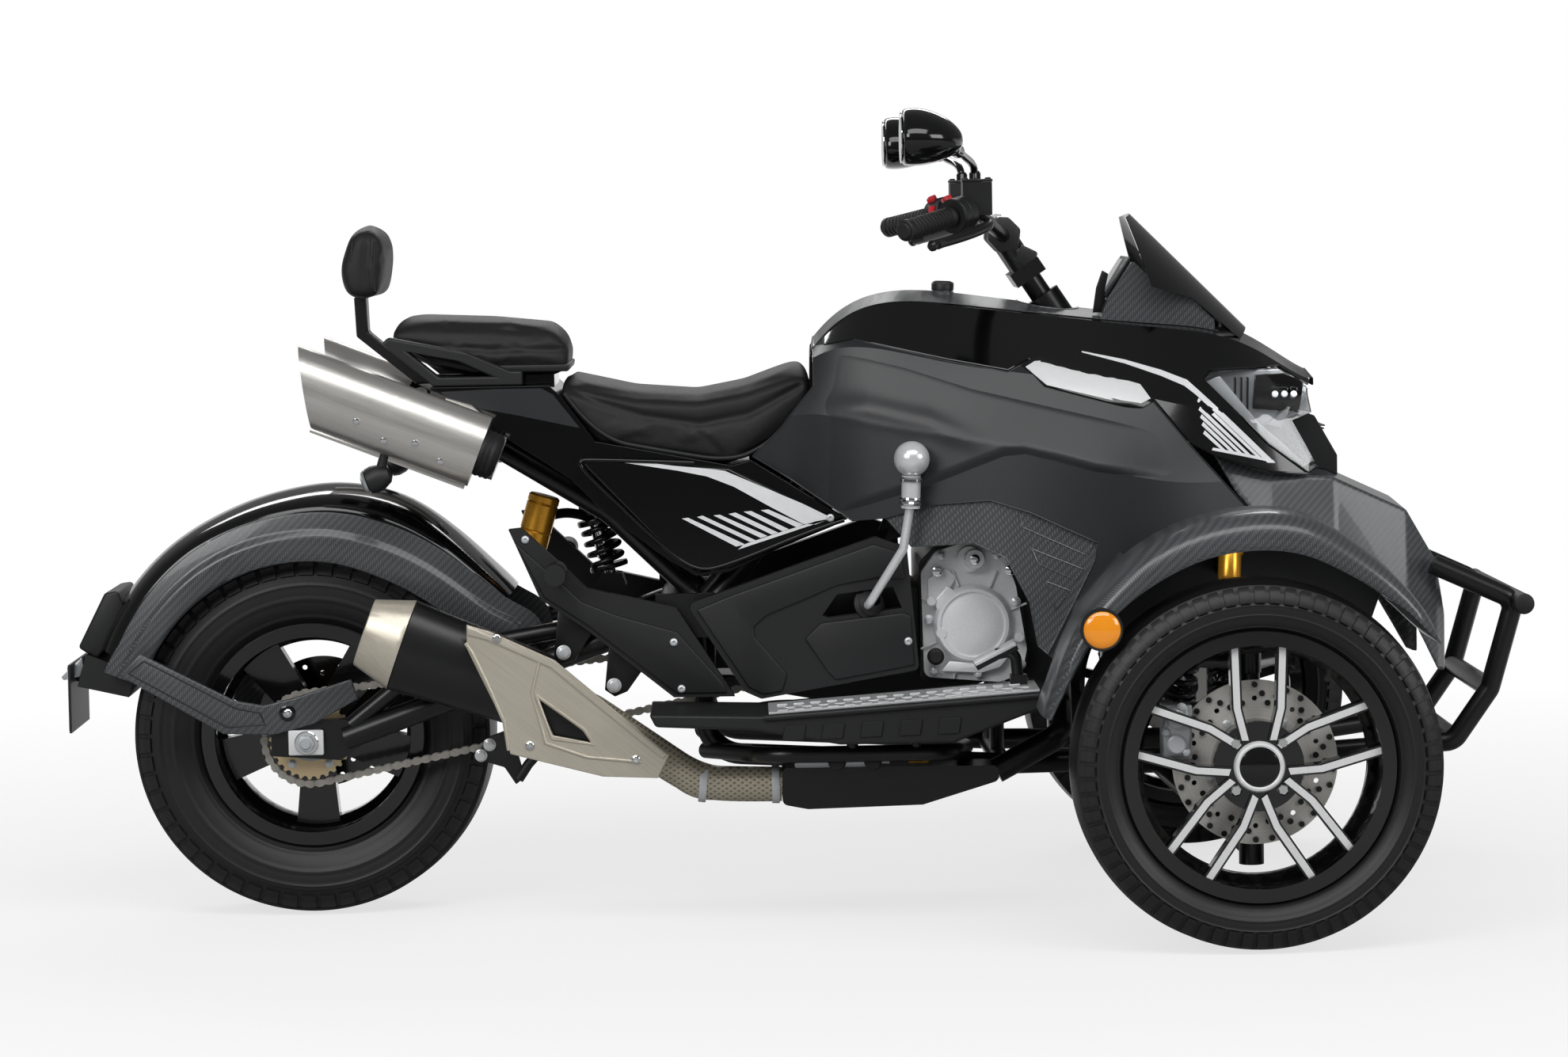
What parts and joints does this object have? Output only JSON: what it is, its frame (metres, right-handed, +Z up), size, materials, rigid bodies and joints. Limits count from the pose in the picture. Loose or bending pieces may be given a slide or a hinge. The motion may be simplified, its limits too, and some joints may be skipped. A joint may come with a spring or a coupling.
{
  "type": "reverse motor trike",
  "caption": "Open sports tricycle with paired steered front wheels, a chain-driven rear wheel, two saddles, fairing, footboards, low silencer and high tail pipes",
  "frame": {"origin": "on the floor, under the middle of the machine", "axes": "+X forward, +Y to the rider's left, +Z up"},
  "size_m": [2.344, 1.3, 1.2761],
  "materials": {
    "paint_black": "satin black enamel",
    "gloss_black": "gloss black",
    "matt_grey": "matt dark grey",
    "weave": "woven fibre pattern under clear lacquer",
    "black_plastic": "fine grained black",
    "steel": "brushed stainless",
    "disc_steel": "ground steel",
    "zinc": "yellow zinc plate",
    "chain_steel": "oiled steel",
    "chrome": "bright chrome",
    "alloy": "cast alloy",
    "rim_alloy": "gloss black with machined spoke faces",
    "lens": "clear moulded lens",
    "smoke": "dark smoked sheet",
    "seat": "black leather-look vinyl",
    "rubber": "black rubber",
    "tyre": "black tyre rubber",
    "amber": "amber reflector",
    "spring": "black spring, gold can"
  },
  "bodies": {
    "chassis": {"frame": "paint_black", "swing_arm": "paint_black", "engine": "alloy", "engine_cover": "alloy", "side_fairings": "matt_grey", "upper_cowl": "gloss_black", "console_cover": "weave", "headlamps": "lens", "nose_apron": "weave", "intake_grille": "black_plastic", "dash_binnacle": "weave", "windscreen": "smoke", "arch_panels": "weave", "footboards": "black_plastic", "foot_plates": "chrome", "side_covers": "gloss_black", "lower_covers": "black_plastic", "pivot_covers": "black_plastic", "tail_cover": "gloss_black", "rider_seat": "seat", "pillion_seat": "seat", "backrest_pad": "seat", "backrest_bracket": "paint_black", "grab_rails": "paint_black", "tail_pipes": "steel", "silencer": "paint_black", "silencer_trim": "steel", "exhaust_pipe": "steel", "rear_shock": "spring", "chain": "chain_steel", "rear_fender": "weave", "rear_fender_top": "gloss_black", "tail_lamp": "black_plastic", "suspension_arms": "paint_black", "front_shocks": "spring", "front_fenders": "weave", "side_reflectors": "amber", "bumper": "paint_black", "gear_lever": "chrome", "brake_pedal": "paint_black"},
    "handlebar": {"handlebar": "paint_black", "grips": "rubber", "bar_controls": "black_plastic", "mirrors": "black_plastic"},
    "knuckle_right": {"knuckle_right": "paint_black"},
    "knuckle_left": {"knuckle_left": "paint_black"},
    "pitman": {"pitman": "paint_black"},
    "tie_rod_right": {"tie_rod_right": "paint_black"},
    "tie_rod_left": {"tie_rod_left": "paint_black"},
    "front_wheel_right": {"front_rim_right": "rim_alloy", "front_tyre_right": "tyre", "front_disc_right": "disc_steel"},
    "front_wheel_left": {"front_rim_left": "rim_alloy", "front_tyre_left": "tyre", "front_disc_left": "disc_steel"},
    "rear_wheel": {"rear_rim": "rim_alloy", "rear_tyre": "tyre", "rear_sprocket": "zinc"}
  },
  "joints": [
    {"name": "steering", "type": "hinge", "parent": "chassis", "child": "handlebar", "pos_m": [0.436, 0, 0.948], "axis": [-0.5519, 0, 0.8339], "range_deg": [-30, 30]},
    {"name": "pitman_turn", "type": "hinge", "parent": "chassis", "child": "pitman", "pos_m": [0.692, 0, 0.301], "axis": [0, 0, 1], "range_deg": [-30, 30]},
    {"name": "knuckle_right_turn", "type": "hinge", "parent": "chassis", "child": "knuckle_right", "pos_m": [0.692, -0.5, 0.281], "axis": [0, 0, 1], "range_deg": [-30, 30]},
    {"name": "tie_rod_right_swing", "type": "hinge", "parent": "knuckle_right", "child": "tie_rod_right", "pos_m": [0.607, -0.5, 0.301], "axis": [0, 0, 1], "range_deg": [-30, 30]},
    {"name": "front_wheel_right_spin", "type": "hinge", "parent": "knuckle_right", "child": "front_wheel_right", "pos_m": [0.692, -0.56, 0.281], "axis": [0, 1, 0], "continuous": true},
    {"name": "knuckle_left_turn", "type": "hinge", "parent": "chassis", "child": "knuckle_left", "pos_m": [0.692, 0.5, 0.281], "axis": [0, 0, 1], "range_deg": [-30, 30]},
    {"name": "tie_rod_left_swing", "type": "hinge", "parent": "knuckle_left", "child": "tie_rod_left", "pos_m": [0.607, 0.5, 0.301], "axis": [0, 0, 1], "range_deg": [-30, 30]},
    {"name": "front_wheel_left_spin", "type": "hinge", "parent": "knuckle_left", "child": "front_wheel_left", "pos_m": [0.692, 0.56, 0.281], "axis": [0, 1, 0], "continuous": true},
    {"name": "rear_wheel_spin", "type": "hinge", "parent": "chassis", "child": "rear_wheel", "pos_m": [-0.773, 0, 0.292], "axis": [0, 1, 0], "continuous": true}
  ],
  "couplings": [
    {"joint": "pitman_turn", "follows": "steering", "ratio": 1},
    {"joint": "knuckle_right_turn", "follows": "steering", "ratio": 1},
    {"joint": "tie_rod_right_swing", "follows": "steering", "ratio": -1},
    {"joint": "knuckle_left_turn", "follows": "steering", "ratio": 1},
    {"joint": "tie_rod_left_swing", "follows": "steering", "ratio": -1}
  ]
}
